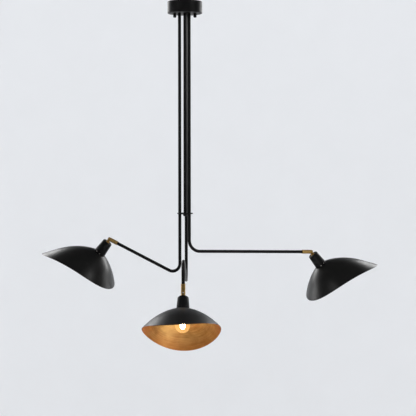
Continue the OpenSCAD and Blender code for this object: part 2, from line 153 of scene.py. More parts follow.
class HeadSizes(bpy.types.PropertyGroup):
    """Sizes of the cups, the holders, the bulbs and the shades"""
    tilt: three("Tilt", "Upward tilt of each head at rest", (38.7, 39.5, 41), "ROTATION")
    turn: three("Shade turn", "Turn of each shade on its holder", (-7.5, 5.5, -5), "ROTATION")
    cup_drop: length("Cup drop", "Distance from the tilt pin to the top of the cup", 12.5)
    cup_top_d: length("Cup top", "Diameter of a cup at its top", 35.5)
    cup_base_d: length("Cup base", "Diameter of a cup at its base", 42.5)
    cup_h: length("Cup height", "Height of a cup", 51.4)
    cup_wall: length("Cup wall", "Wall of a cup", 1.4)
    cup_edge: length("Cup edge", "Radius of a cup's upper edge", 3.4)
    holder_d: length("Holder diameter", "Diameter of a lampholder", 26)
    holder_l: length("Holder length", "Length of a lampholder", 67.8)
    bulb_d: length("Bulb diameter", "Diameter of a bulb's globe", 45)
    base_d: length("Bulb base", "Diameter of a bulb's screw base", 14)
    shade_t: length("Shade sheet", "Sheet thickness of a shade", 1.2)
    crown_r: length("Crown radius", "Radius of a shade's crown, seen from the side", 268)
    crown_start: angle("Crown start", "Slope of a shade where its crown starts", 24.1)
    crown_end: angle("Crown end", "Slope of a shade where its straight skirt starts", 55.5)
    trim_depth: length("Edge depth", "Depth of the trimmed edge on the cup's axis", 102.2)
    trim_slope: angle("Edge slope", "Slope of the trimmed edge towards the beak", 15)
    trim_r: length("Edge radius", "Radius of the cylinder that trims the edge", 258)


class LampColours(bpy.types.PropertyGroup):
    """Colours of the finishes"""
    powder: colour("Powder coat", "Black powder coat of tubes, canopy and cups", "#100F0F")
    lacquer: colour("Shade lacquer", "Black lacquer outside the shades", "#131211")
    gold: colour("Gold", "Gold lacquer inside the shades", "#E0B66F")
    brass: colour("Brass", "Turned brass of the knuckles", "#D3AB66")
    zinc: colour("Zinc", "Zinc plate of strap, studs and collars", "#B4B6B6")
    nickel: colour("Nickel", "Nickel plate of screws and bulb bases", "#C9C6C0")
    nylon: colour("Nylon", "Black nylon of the bushes", "#1D1D1E")
    block: colour("Terminal block", "White polyamide of the terminal block", "#DFDED8")
    sleeve: colour("Flex sleeve", "Rubber sleeve of the flex", "#26262A")
    holder: colour("Holder", "Cream thermoplastic of holders and ring nuts", "#DED8C8")
    glow: colour("Glow", "Light of the bulbs", "#FFCB7C")
    backdrop: colour("Backdrop", "Painted floor and backdrop", "#F3F3F3")


def sizes(context):
    """The three groups of sizes."""
    return context.scene.lamp_ceiling, context.scene.lamp_arms, context.scene.lamp_heads


def canopy_floor(ceiling):
    """Height of the canopy's floor, inside."""
    return ceiling.canopy_floor - ceiling.canopy_h


def tube_frame(name):
    """Frame of one arm tube: its axis is z, the arm runs along x."""
    pin_axis, x_y = JOINTS[name + "_tilt"]["axis"], JOINTS[name + "_swing"]["pos_m"]
    heading = math.atan2(pin_axis[0], -pin_axis[1])
    return Matrix.Translation((x_y[0], x_y[1], 0)) @ Matrix.Rotation(heading, 4, "Z")


def tube_at(name, z):
    """Point on one arm tube's axis at a height."""
    return tube_frame(name).translation + Vector((0, 0, z))


def pin_frame(name, tilt):
    """Frame at one tilt pin, turned up by tilt: y is the pin."""
    turned_only = tube_frame(name).to_3x3().to_4x4()
    return Matrix.Translation(JOINTS[name + "_tilt"]["pos_m"]) @ turned_only @ Matrix.Rotation(-tilt, 4, "Y")


def barrel_frame(name, arms):
    """Frame of one barrel: its axis is z, towards the free end."""
    slope = -math.pi / 2 if name == "front" else arms.rise[ARMS.index(name)]
    return pin_frame(name, slope) @ Matrix.Rotation(math.pi / 2, 4, "Y")


def head_frame(name, heads):
    """Frame of one head at rest: its axis is z, the pin is y."""
    return pin_frame(name, heads.tilt[ARMS.index(name)])


# Modelling tools

def clear():
    """Deselects every object."""
    bpy.ops.object.select_all(action="DESELECT")


def only(*objs):
    """Selects these objects alone; the first is the active one."""
    clear()
    for obj in objs:
        obj.select_set(True)
    bpy.context.view_layer.objects.active = objs[0]


def named(name):
    """Names the object that was just added."""
    obj = bpy.context.object
    obj.name = obj.data.name = name
    return obj


def apply():
    """Takes the selected objects' place, turn and scale over into their meshes."""
    bpy.ops.object.transform_apply(location=True, rotation=True, scale=True)


def edit(kind="VERT"):
    """Opens the active object's mesh with everything in it selected."""
    bpy.ops.object.mode_set(mode="EDIT")
    bpy.ops.mesh.select_mode(type=kind)
    bpy.ops.mesh.select_all(action="SELECT")


def close():
    """Closes the open mesh."""
    bpy.ops.object.mode_set(mode="OBJECT")


def pick(obj, kind, test):
    """Opens a mesh with only the edges or faces selected that pass a test."""
    only(obj)
    edit(kind)
    bpy.ops.mesh.select_all(action="DESELECT")
    close()
    for part in obj.data.edges if kind == "EDGE" else obj.data.polygons:
        part.select = test(part)
    bpy.ops.object.mode_set(mode="EDIT")


def ends(obj, edge):
    """The two points of an edge."""
    return [obj.data.vertices[k].co for k in edge.vertices]


def pull(x, z):
    """Extrudes what is selected along x and z."""
    bpy.ops.mesh.extrude_region_move(TRANSFORM_OT_translate={"value": (x, 0, z)})


def weld():
    """Merges the open mesh's double points, turns its faces outwards and closes it."""
    bpy.ops.mesh.select_all(action="SELECT")
    bpy.ops.mesh.remove_doubles(threshold=SAME)
    bpy.ops.mesh.normals_make_consistent(inside=False)
    close()


def turned(name, section, steps=64, closed=True):
    """Extrudes one vertex along a half section of radius and height, and spins it about z."""
    clear()
    bpy.ops.mesh.primitive_plane_add(size=MM)
    obj = named(name)
    edit()
    bpy.ops.mesh.merge(type="CENTER")
    bpy.ops.transform.translate(value=(section[0][0], 0, section[0][1]))
    route = list(section) + ([section[0]] if closed else [])
    for a, b in zip(route, route[1:]):
        pull(b[0] - a[0], b[1] - a[1])
    bpy.ops.mesh.select_all(action="SELECT")
    bpy.ops.mesh.remove_doubles(threshold=SAME / 10)
    bpy.ops.mesh.spin(steps=steps, angle=TURN, center=(0, 0, 0), axis=(0, 0, 1), use_auto_merge=True)
    weld()
    return obj


def rod(name, radius, depth, centre, axis="Z", sides=48):
    """A round rod along one axis, as stock or as a drill."""
    turn = {"X": (0, math.pi / 2, 0), "Y": (math.pi / 2, 0, 0), "Z": (0, 0, 0)}[axis]
    clear()
    bpy.ops.mesh.primitive_cylinder_add(vertices=sides, radius=radius, depth=depth, location=centre, rotation=turn)
    obj = named(name)
    apply()
    return obj


def bar(name, size, centre):
    """A square bar, as stock or as a saw cut."""
    clear()
    bpy.ops.mesh.primitive_cube_add(size=1, location=centre)
    obj = named(name)
    obj.scale = size
    apply()
    return obj


def modify(obj, kind, **settings):
    """Adds a modifier with these settings and applies it."""
    made = obj.modifiers.new(kind.lower(), kind)
    for key, value in settings.items():
        setattr(made, key, value)
    only(obj)
    bpy.ops.object.modifier_apply(modifier=made.name)
    return obj


def join(name, objs):
    """Joins objects into one piece."""
    only(*objs)
    bpy.ops.object.join()
    return named(name)


def cut(obj, *tools, operation="DIFFERENCE"):
    """Cuts tools out of a piece, or unites or intersects them with it, and throws them away."""
    for tool in tools:
        modify(obj, "BOOLEAN", operation=operation, solver="EXACT", object=tool)
        bpy.data.objects.remove(tool)


def soften(obj, width, segments=3, limit=35):
    """Rounds the edges that are sharper than a limit in degrees, as deburring and paint do."""
    return modify(obj, "BEVEL", width=width, segments=segments, limit_method="ANGLE", angle_limit=math.radians(limit))


def twin(obj, name):
    """A copy with its own mesh."""
    made = obj.copy()
    made.data = obj.data.copy()
    made.name = made.data.name = name
    bpy.context.scene.collection.objects.link(made)
    return made


def spread(name, first, spots):
    """Copies a piece to these spots and joins the copies into one group."""
    group = [first] + [twin(first, f"{name}_{k}") for k in range(1, len(spots))]
    for made, spot in zip(group, spots):
        made.location = spot
    return join(name, group)


def arc(x, z, radius, start, end, steps=8):
    """Points of an arc in a half section, angles in degrees."""
    turns = [math.radians(start + (end - start) * k / steps) for k in range(steps + 1)]
    return [(x + radius * math.cos(a), z + radius * math.sin(a)) for a in turns]


def thread(radius, depth, pitch, low, high):
    """Crests and roots of a thread along a half section, from low to high."""
    count = max(1, round((high - low) / pitch))
    step = (high - low) / count
    return [(radius - depth * (k % 2), low + k * step / 2) for k in range(2 * count + 1)]


def mark_turning(obj, along=None):
    """Stores where each vertex lies on the lathe: the direction round z, and metres along the section."""
    marks = obj.data.attributes.new(LATHE["attribute_name"], "FLOAT_VECTOR", "POINT")
    for vertex, mark in zip(obj.data.vertices, marks.data):
        x, y, z = vertex.co
        r = math.hypot(x, y)
        mark.vector = (x / r, y / r, along(r, z) if along else r - z) if r > SAME else (0, 0, -z)


def place(obj, matrix, body, slot, nodes, *finishes, slack=0.6 * MM):
    """Puts a piece in the lamp's frame, finishes it, and lets it stand for its CAD nodes."""
    obj.matrix_world = matrix
    only(obj)
    apply()
    bpy.ops.object.shade_smooth_by_angle(angle=SMOOTH)
    boxes = [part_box(n) for n in nodes]
    for k in range(3):
        low, high = min(v.co[k] for v in obj.data.vertices), max(v.co[k] for v in obj.data.vertices)
        if low < min(b[0][k] for b in boxes) - slack or high > max(b[1][k] for b in boxes) + slack:
            raise RuntimeError(f"{obj.name} leaves the space of {nodes} along axis {k}: {low:.5f} to {high:.5f}")
    for finish in finishes:
        obj.data.materials.append(FINISHES[finish])
    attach(obj, body)
    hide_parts(*nodes)


def on_each_arm(frame_of, body, *rows):
    """Copies pieces to the three arms; each row has a piece, its name, slot and node, and its finishes."""
    for n in ARMS:
        for first, name, slot, node, *finishes in rows:
            place(twin(first, f"{n}_{name}"), frame_of(n), f"{n}_{body}", slot, [f"{n}_{node}"], *finishes)
    for row in rows:
        bpy.data.objects.remove(row[0])


# Finishes

def feed(tree, node, **inputs):
    """Sets or links a node's inputs by name or _number: to a value, a socket, or a node's first output in use."""
    for key, value in inputs.items():
        socket = node.inputs[int(key[1:]) if key[0] == "_" else key.replace("_", " ")]
        if isinstance(value, bpy.types.Node):
            value = next(out for out in value.outputs if out.enabled)
        if isinstance(value, bpy.types.NodeSocket):
            tree.links.new(value, socket)
        else:
            socket.default_value = value


def add(tree, kind, settings=(), **inputs):
    """Adds one shader node: settings are its own fields, inputs are fed to it."""
    made = tree.nodes.new("ShaderNode" + kind)
    for key, value in dict(settings).items():
        setattr(made, key, value)
    feed(tree, made, **inputs)
    return made


def begin(name):
    """A new material: its tree, its shader and its coordinates."""
    made = bpy.data.materials.new(name)
    made.use_nodes = True
    FINISHES[name] = made
    tree = made.node_tree
    return tree, tree.nodes["Principled BSDF"], add(tree, "TexCoord").outputs["Object"]


def lay(tree, shader, tone, gloss, rough, relief, strength, depth_mm, **more):
    """Lays a finish: its tone, a pattern of gloss between two roughnesses, and a pattern of relief."""
    dull = add(tree, "MapRange", Value=gloss, From_Min=0.3, From_Max=0.7, To_Min=rough[0], To_Max=rough[1])
    bump = add(tree, "Bump", Strength=strength, Distance=depth_mm * MM, Height=relief)
    feed(tree, shader, Base_Color=tone, Roughness=dull, Normal=bump, **more)


def shade_of(rgb, factor=1):
    """A colour, darker or lighter by a factor, with alpha."""
    return tuple(min(1, c * factor) for c in rgb) + (1,)


def black_powder_coat(paint):
    """Powder coat on steel: baked satin black with a faint orange peel and dull handling marks."""
    tree, shader, place_at = begin("black_powder_coat")
    # Orange peel is about 1 mm wide; it is drawn at 2.5 mm so that it shows
    peel = add(tree, "TexNoise", Vector=place_at, Scale=1 / (2.5 * MM), Detail=2.0)
    marks = add(tree, "TexNoise", Vector=place_at, Scale=1 / (45 * MM), Detail=5.0, Roughness=0.6)
    tone = add(tree, "Mix", RGBA, _0=marks, _6=shade_of(paint, 0.9), _7=shade_of(paint, 1.5))
    lay(tree, shader, tone, marks, (0.36, 0.48), peel, 0.03, 0.1, Specular_IOR_Level=0.2)


def black_lacquer(paint):
    """Stoved lacquer on spun aluminium: smooth satin black over faint spinning rings."""
    tree, shader, place_at = begin("black_lacquer")
    lathe = add(tree, "Attribute", LATHE).outputs["Vector"]
    # Spinning rings are under 1 mm apart; they are drawn 4 mm apart so that they show
    rings_at = add(tree, "Mapping", Vector=lathe, Scale=(1.2, 1.2, 1 / (4 * MM)))
    rings = add(tree, "TexNoise", Vector=rings_at, Scale=1.0, Detail=2.0)
    marks = add(tree, "TexNoise", Vector=place_at, Scale=1 / (60 * MM), Detail=5.0, Roughness=0.6)
    tone = add(tree, "Mix", RGBA, _0=marks, _6=shade_of(paint, 0.8), _7=shade_of(paint, 1.3))
    lay(tree, shader, tone, marks, (0.3, 0.4), rings, 0.05, 0.15)


def brushed_gold(metal):
    """Gold lacquer on spun aluminium: fine rings from the lathe, cloudy, with deeper orange patches, and painted shade
    that deepens it towards the edge.
    """
    tree, shader, place_at = begin("brushed_gold")
    lathe = add(tree, "Attribute", LATHE).outputs["Vector"]
    # Lathe rings are under 0.5 mm apart; they are drawn 2 mm apart so that they show
    rings_at = add(tree, "Mapping", Vector=lathe, Scale=(1.6, 1.6, 1 / (2 * MM)))
    rings = add(tree, "TexNoise", Vector=rings_at, Scale=1.0, Detail=4.0, Roughness=0.65)
    clouds = add(tree, "TexNoise", Vector=place_at, Scale=1 / (40 * MM), Detail=4.0, Roughness=0.55)
    blend = add(tree, "Math", {"operation": "MULTIPLY_ADD"}, _0=rings, _1=0.9, _2=clouds)
    share = add(tree, "MapRange", Value=blend, From_Min=0.5, From_Max=1.3)
    tone = add(tree, "Mix", RGBA, _0=share, _6=shade_of(linear("#8F4F1C")), _7=shade_of(metal, 1.1))
    # Painted shade: the gold turns deeper orange towards the edge, away from the bulb
    across = add(tree, "SeparateXYZ", Vector=lathe).outputs["Z"]
    outer = add(tree, "MapRange", Value=across, From_Min=82 * MM, From_Max=120 * MM, To_Max=0.6)
    tone = add(tree, "Mix", RGBA, _0=outer, _6=tone, _7=shade_of(linear("#C96A14")))
    lay(tree, shader, tone, rings, (0.34, 0.5), rings, 0.15, 0.2, Metallic=0.65)


def turned_brass(metal):
    """Lathe-turned brass, unlacquered: fine tool rings and brown tarnish that gathers in patches."""
    tree, shader, place_at = begin("turned_brass")
    lathe = add(tree, "Attribute", LATHE).outputs["Vector"]
    # Tool rings are 0.1 mm apart; they are drawn 0.6 mm apart so that they show
    rings_at = add(tree, "Mapping", Vector=lathe, Scale=(0.7, 0.7, 1 / (0.6 * MM)))
    rings = add(tree, "TexNoise", Vector=rings_at, Scale=1.0, Detail=2.0)
    tarnish = add(tree, "TexNoise", Vector=place_at, Scale=1 / (7 * MM), Detail=5.0, Roughness=0.6)
    share = add(tree, "MapRange", Value=tarnish, From_Min=0.38, From_Max=0.68)
    tone = add(tree, "Mix", RGBA, _0=share, _6=shade_of(metal, 1.08), _7=shade_of(metal, 0.74))
    lay(tree, shader, tone, tarnish, (0.3, 0.44), rings, 0.08, 0.05, Metallic=0.85)


def plated_metal(name, metal, grain_mm, rough):
    """Bright plate on steel: small crystals that differ a little in tone and gloss."""
    tree, shader, place_at = begin(name)
    grain = add(tree, "TexVoronoi", Vector=place_at, Scale=1 / (grain_mm * MM)).outputs["Color"]
    cloud = add(tree, "TexNoise", Vector=place_at, Scale=1 / (6 * grain_mm * MM), Detail=4.0)
    tone = add(tree, "Mix", RGBA, _0=grain, _6=shade_of(metal, 0.82), _7=shade_of(metal, 1.05))
    lay(tree, shader, tone, cloud, rough, cloud, 0.05, 0.05, Metallic=1.0)


def moulded_plastic(name, resin, rough):
    """Injection-moulded plastic: an even colour with faint flow clouds and a fine spark-eroded grain."""
    tree, shader, place_at = begin(name)
    grit = add(tree, "TexNoise", Vector=place_at, Scale=1 / (0.6 * MM), Detail=2.0)
    flow = add(tree, "TexNoise", Vector=place_at, Scale=1 / (14 * MM), Detail=3.0)
    tone = add(tree, "Mix", RGBA, _0=flow, _6=shade_of(resin, 0.9), _7=shade_of(resin, 1.06))
    lay(tree, shader, tone, flow, rough, grit, 0.1, 0.05)


def warm_bulb_glass(light):
    """Thin etched glass of a lit bulb: half clear, with a warm glow that turns amber towards the neck."""
    tree, shader, place_at = begin("warm_bulb_glass")
    lathe = add(tree, "Attribute", LATHE).outputs["Vector"]
    along = add(tree, "SeparateXYZ", Vector=lathe).outputs["Z"]
    etch = add(tree, "TexNoise", Vector=place_at, Scale=1 / (1.2 * MM), Detail=2.0)
    near_neck = add(tree, "MapRange", Value=along, From_Min=20 * MM, From_Max=58 * MM)
    tint = add(tree, "Mix", RGBA, _0=near_neck, _6=shade_of(light), _7=shade_of(linear("#E8933C")))
    tone = add(tree, "Mix", RGBA, _0=etch, _6=shade_of(linear("#2E2318")), _7=shade_of(linear("#40311F")))
    bump = add(tree, "Bump", Strength=0.08, Distance=0.05 * MM, Height=etch)
    feed(tree, shader, Base_Color=tone, Roughness=0.12, IOR=1.5, Alpha=0.22, Normal=bump,
         Emission_Color=tint, Emission_Strength=1.5)


def glowing_filament(light):
    """Lit filament: white-hot, with a yellower coil."""
    tree, shader, _ = begin("glowing_filament")
    lathe = add(tree, "Attribute", LATHE).outputs["Vector"]
    coil = add(tree, "TexNoise", Vector=lathe, Scale=1 / (3 * MM), Detail=2.0)
    tint = add(tree, "Mix", RGBA, _0=coil, _6=shade_of(light), _7=shade_of(linear("#FFE9C4")))
    feed(tree, shader, Base_Color=tint, Roughness=0.5, Emission_Color=tint, Emission_Strength=80.0)


def painted_backdrop(paint):
    """Matt wall paint: a pale roller finish, with painted reflections: glossy rays see it dim, except low behind the
    lamp.
    """
    tree, shader, place_at = begin("painted_backdrop")
    roller = add(tree, "TexNoise", Vector=place_at, Scale=1 / (400 * MM), Detail=3.0)
    tone = add(tree, "Mix", RGBA, _0=roller, _6=shade_of(paint, 0.985), _7=shade_of(paint, 1.015))
    spot = add(tree, "SeparateXYZ", Vector=place_at).outputs
    # Painted reflections: glossy rays see the paint at 0.05 in front, at 0.28 behind the lamp, and at 0.9 low behind it
    behind = add(tree, "MapRange", Value=spot["Y"], From_Min=1.0, From_Max=5.0)
    low = add(tree, "MapRange", {"interpolation_type": "SMOOTHSTEP"}, Value=spot["Z"], From_Min=-0.4, From_Max=-1.0)
    back = add(tree, "Mix", RGBA, _0=low, _6=shade_of(paint, 0.28), _7=shade_of(paint, 0.9))
    dim = add(tree, "Mix", RGBA, _0=behind, _6=shade_of(paint, 0.05), _7=back)
    mirrored = add(tree, "LightPath").outputs["Is Glossy Ray"]
    seen = add(tree, "Mix", RGBA, _0=mirrored, _6=tone, _7=dim)
    feed(tree, shader, Base_Color=seen, Roughness=0.9)


class LAMP_OT_finishes(bpy.types.Operator):
    """Makes the finishes that the pieces use"""
    bl_idname = "lamp.finishes"
    bl_label = "Finishes"

    def execute(self, context):
        c = context.scene.lamp_colours
        black_powder_coat(c.powder)
        black_lacquer(c.lacquer)
        brushed_gold(c.gold)
        turned_brass(c.brass)
        plated_metal("zinc_plated_steel", c.zinc, 3.0, (0.3, 0.5))
        plated_metal("bright_nickel_plate", c.nickel, 1.2, (0.32, 0.45))
        moulded_plastic("black_nylon", c.nylon, (0.45, 0.6))
        moulded_plastic("white_polyamide", c.block, (0.35, 0.5))
        moulded_plastic("rubber_sleeve", c.sleeve, (0.6, 0.75))
        moulded_plastic("cream_thermoplastic", c.holder, (0.32, 0.45))
        warm_bulb_glass(c.glow)
        glowing_filament(c.glow)
        painted_backdrop(c.backdrop)
        return {"FINISHED"}


# Pieces at the ceiling

class LAMP_OT_canopy(bpy.types.Operator):
    """Spun cup against the ceiling, drilled for the stem, the bushes and the studs"""
    bl_idname = "lamp.canopy"
    bl_label = "Canopy"

    def execute(self, context):
        c, a, _ = sizes(context)
        r, low, e, lip, loose = c.canopy_d / 2, -c.canopy_h, c.canopy_edge, 0.4 * MM, 0.2 * MM
        inner, floor, neck = r - c.canopy_wall, canopy_floor(c), a.tube_d / 2 - NECK_STEP + FIT
        section = [(neck, low)] + arc(r - e, low + e, e, -90, 0)
        section += [(r, -lip), (r - lip, 0), (inner + lip, 0), (inner, -lip)]
        section += arc(inner - e, floor + e, e, 0, -90) + [(neck, floor)]
        shell = turned("canopy_cup", section, 128)
        drills = [rod("drill", c.bush_d / 2 + FIT, DRILL, tube_at(n, low)) for n in ARMS]
        drills += [rod("drill", c.stud_d / 2 + loose, DRILL, (s * c.stud_x, 0, low)) for s in SIDES]
        cut(shell, *drills)
        place(shell, Matrix(), "fixture", "black_paint", ["canopy"], "black_powder_coat")
        return {"FINISHED"}


class LAMP_OT_cap_nuts(bpy.types.Operator):
    """Two domed cap nuts under the canopy, each with a turned groove"""
    bl_idname = "lamp.cap_nuts"
    bl_label = "Cap nuts"

    def execute(self, context):
        c, _, _ = sizes(context)
        r, top, low = c.cap_d / 2, -c.canopy_h, -c.canopy_h - c.cap_h
        bore, groove, dome, depth = c.stud_d / 2 + FIT, 0.5 * MM, 3 * MM, 9.4 * MM
        section = [(bore, top), (r - CHAMFER, top), (r, top - CHAMFER), (r, top - 2.2 * MM),
                   (r - groove, top - 2.6 * MM), (r - groove, top - 3.2 * MM), (r, top - 3.6 * MM), (r, low + dome)]
        section += arc(r - dome, low + dome, dome, 0, -90) + [(0, low), (0, top - depth), (bore, top - depth)]
        pair = spread("cap_nut_pair", turned("cap_nut", section, 40), [(s * c.stud_x, 0, 0) for s in SIDES])
        place(pair, pair.matrix_world, "fixture", "black_paint", ["cap_nuts"], "black_powder_coat")
        return {"FINISHED"}


def hex_nut(name, corner, height, bore):
    """A chamfered hexagon nut from z = 0 up."""
    nut = rod(name, corner, height, (0, 0, height / 2), sides=6)
    nut.rotation_euler.z = math.pi / 6
    apply()
    flat, wide = corner * 0.9, corner * 1.01
    drop = (corner - flat) * 0.55
    section = [(0, 0), (flat, 0), (wide, drop), (wide, height - drop), (flat, height), (0, height)]
    cut(nut, turned("cone", section, 48, False), operation="INTERSECT")
    cut(nut, rod("drill", bore, 3 * height, (0, 0, height / 2)))
    return soften(nut, 0.12 * MM, 2, 25)


class LAMP_OT_bracket(bpy.types.Operator):
    """Zinc-plated ceiling strap with rounded corners, its threaded studs and their lock nuts"""
    bl_idname = "lamp.bracket"
    bl_label = "Bracket and studs"

    def execute(self, context):
        c, _, _ = sizes(context)
        strap = bar("ceiling_strap", (c.strap_l, c.strap_w, c.strap_t), (0, 0, -c.strap_t / 2))
        # The four upright edges are its corners
        pick(strap, "EDGE", lambda e: abs(ends(strap, e)[0].z - ends(strap, e)[1].z) > c.strap_t / 2)
        bpy.ops.mesh.bevel(offset=3 * MM, segments=8, affect="EDGES")
        close()
        drills = [rod("drill", c.hole_d / 2, DRILL, (s * c.hole_x, 0, 0)) for s in SIDES]
        drills += [rod("drill", c.stud_d / 2 + FIT, DRILL, (s * c.stud_x, 0, 0)) for s in SIDES]
        cut(strap, *drills)
        soften(strap, 0.25 * MM, 2)
        place(strap, Matrix(), "fixture", "bracket_steel", ["bracket"], "zinc_plated_steel")
        low, r, tip, gap, nut_h = -c.canopy_h - 0.65 * c.cap_h, c.stud_d / 2, 0.6 * MM, 0.2 * MM, 3 * MM
        section = [(0, low), (r - tip, low)] + thread(r, 0.25 * MM, 0.7 * MM, low + tip, -tip)
        section += [(r - tip, -gap), (0, -gap)]
        studs = spread("studs", turned("stud", section, 24, False), [(s * c.stud_x, 0, 0) for s in SIDES])
        nut = hex_nut("lock_nut", r + 1.5 * MM, nut_h, r - 0.1 * MM)
        nuts = spread("lock_nuts", nut, [(s * c.stud_x, 0, -c.strap_t - nut_h) for s in SIDES])
        group = join("stud_pair", [studs, nuts])
        place(group, group.matrix_world, "fixture", "bracket_steel", ["bracket_studs"], "zinc_plated_steel")
        return {"FINISHED"}


class LAMP_OT_terminal_block(bpy.types.Operator):
    """White three-way terminal block with wire ways, notches and screw wells"""
    bl_idname = "lamp.terminal_block"
    bl_label = "Terminal block"

    def execute(self, context):
        c, _, _ = sizes(context)
        size = Vector((40, 16, 13)) * MM
        middle = -c.strap_t - size.z / 2
        low = middle - size.z / 2
        way_r, well_r, well_y, notch_w, depth = 2.5 * MM, 1.9 * MM, 4.5 * MM, 1.6 * MM, 6 * MM
        block = soften(bar("terminal_strip", size, (0, 0, middle)), 0.8 * MM, 3)
        for k in (-1, 0, 1):
            x = k * size.x / 4
            cut(block, rod("way", way_r, 2 * size.y, (x, 0, middle), "Y", 32))
            for s in SIDES:
                cut(block, rod("well", well_r, depth, (x, s * well_y, low), sides=24))
        for s in SIDES:
            cut(block, bar("notch", (notch_w, 2 * size.y, depth), (s * size.x / 8, 0, low)))
        place(block, Matrix(), "fixture", "block_plastic", ["terminal_block"], "white_polyamide")
        return {"FINISHED"}


class LAMP_OT_bushes(bpy.types.Operator):
    """Flanged nylon bushes in the canopy's floor and in the guide plate"""
    bl_idname = "lamp.bushes"
    bl_label = "Bushes"

    def execute(self, context):
        c, a, _ = sizes(context)
        bore, r = a.tube_d / 2 + RUNNING, c.bush_d / 2
        # Node, height of the seat, depth of the hole, width and height of the flange
        rows = (("canopy_bushes", canopy_floor(c), c.canopy_floor, 2 * MM, 1.5 * MM),
                ("guide_bushes", c.plate_z + c.plate_t, c.plate_t, 0.5 * MM, 1 * MM))
        for node, top, depth, flange, height in rows:
            section = [(bore + CHAMFER, -depth), (r, -depth), (r, 0), (r + flange, 0), (r + flange, height),
                       (bore + CHAMFER, height), (bore, height - CHAMFER), (bore, CHAMFER - depth)]
            first = soften(turned(node + "_turned", section, 48), 0.15 * MM, 2)
            group = spread(node + "_turned", first, [tube_at(n, top) for n in ARMS])
            place(group, group.matrix_world, "fixture", "bush_nylon", [node], "black_nylon")
        return {"FINISHED"}


class LAMP_OT_stem(bpy.types.Operator):
    """Fixed centre tube with threaded necks, and the hexagon nut on its upper neck"""
    bl_idname = "lamp.stem"
    bl_label = "Stem"

    def execute(self, context):
        c, a, _ = sizes(context)
        r, top, low = a.tube_d / 2, -c.canopy_h, c.plate_z + c.plate_t
        neck, tip, bore, foot = r - NECK_STEP, top + 10 * MM, 2.5 * MM, c.plate_z - 0.6 * c.end_h
        depth, pitch = 0.3 * MM, 1 * MM
        section = [(bore, foot)] + thread(STUD_R, depth, pitch, foot, c.plate_z) + [(STUD_R, low)]
        section += [(r - CHAMFER, low), (r, low + CHAMFER), (r, top - CHAMFER), (r - CHAMFER, top), (neck, top)]
        section += thread(neck, depth, pitch, top + c.canopy_floor, tip) + [(bore, tip)]
        tube = turned("stem_tube", section, 64)
        place(tube, Matrix(), "fixture", "black_paint", ["stem"], "black_powder_coat")
        nut, seat = hex_nut("stem_hex_nut", 7.5 * MM, 6 * MM, neck), Matrix.Translation((0, 0, canopy_floor(c)))
        place(nut, seat, "fixture", "bracket_steel", ["stem_nut"], "zinc_plated_steel")
        return {"FINISHED"}


class LAMP_OT_guide_plate(bpy.types.Operator):
    """Round plate that keeps the tubes together, and the domed nut below it"""
    bl_idname = "lamp.guide_plate"
    bl_label = "Guide plate"

    def execute(self, context):
        c, _, _ = sizes(context)
        r, low, top, e, hole = c.plate_d / 2, c.plate_z, c.plate_z + c.plate_t, 0.9 * MM, STUD_R + FIT
        section = [(hole, low)] + arc(r - e, low + e, e, -90, 0, 5) + arc(r - e, top - e, e, 0, 90, 5) + [(hole, top)]
        plate = turned("guide_disc", section, 96)
        cut(plate, *[rod("drill", c.bush_d / 2 + FIT, 4 * c.plate_t, tube_at(n, low)) for n in ARMS])
        place(plate, Matrix(), "fixture", "black_paint", ["guide_plate"], "black_powder_coat")
        rim, wide, floor = 1 * MM, c.end_d / 2, -0.6 * c.end_h - 0.3 * MM
        ball = c.end_h - rim
        widest = math.degrees(math.acos(wide / ball))
        section = [(hole, 0), (wide - CHAMFER, 0), (wide, -CHAMFER)] + arc(0, -rim, ball, -widest, -90, 12)
        nut = turned("domed_nut", section + [(0, floor), (hole, floor)], 48)
        place(nut, Matrix.Translation((0, 0, low)), "fixture", "black_paint", ["end_nut"], "black_powder_coat")
        return {"FINISHED"}


# Arms

class LAMP_OT_arm_tubes(bpy.types.Operator):
    """Three bent tubes, drawn as a circle that is extruded and spun round each bend"""
    bl_idname = "lamp.arm_tubes"
    bl_label = "Arm tubes"

    def execute(self, context):
        c, a, _ = sizes(context)
        above_floor, steps = 13.8 * MM, 24
        top, back = canopy_floor(c) + above_floor, a.barrel_l - a.barrel_nose - SOCKET
        for n, rise, corner, bend, reach in zip(ARMS, a.rise, a.corner, a.bend, a.reach):
            drop, sweep = a.drop if n == "front" else 0, math.pi / 2 + rise
            half = bend * math.tan(sweep / 2)
            far, upper = reach / math.cos(rise), corner + reach * math.tan(rise)
            run = (far - half if drop else far - back) - half
            clear()
            bpy.ops.mesh.primitive_circle_add(vertices=48, radius=a.tube_d / 2, fill_type="NOTHING",
                                              location=(0, 0, top))
            tube = named(n + "_arm_tube")
            apply()
            edit()
            pull(0, corner + half - top)
            bpy.ops.mesh.spin(steps=steps, angle=sweep, center=(bend, 0, corner + half), axis=(0, 1, 0))
            pull(run * math.cos(rise), run * math.sin(rise))
            if drop:
                bpy.ops.mesh.spin(steps=steps, angle=sweep, center=(reach - bend, 0, upper - half), axis=(0, -1, 0))
                pull(0, back + half - drop)
            weld()
            modify(tube, "SOLIDIFY", thickness=(a.tube_d - a.tube_bore) / 2, offset=-1)
            soften(tube, 0.25 * MM, 2, 60)
            place(tube, tube_frame(n), n + "_arm_body", "black_paint", [n + "_arm"], "black_powder_coat")
        return {"FINISHED"}


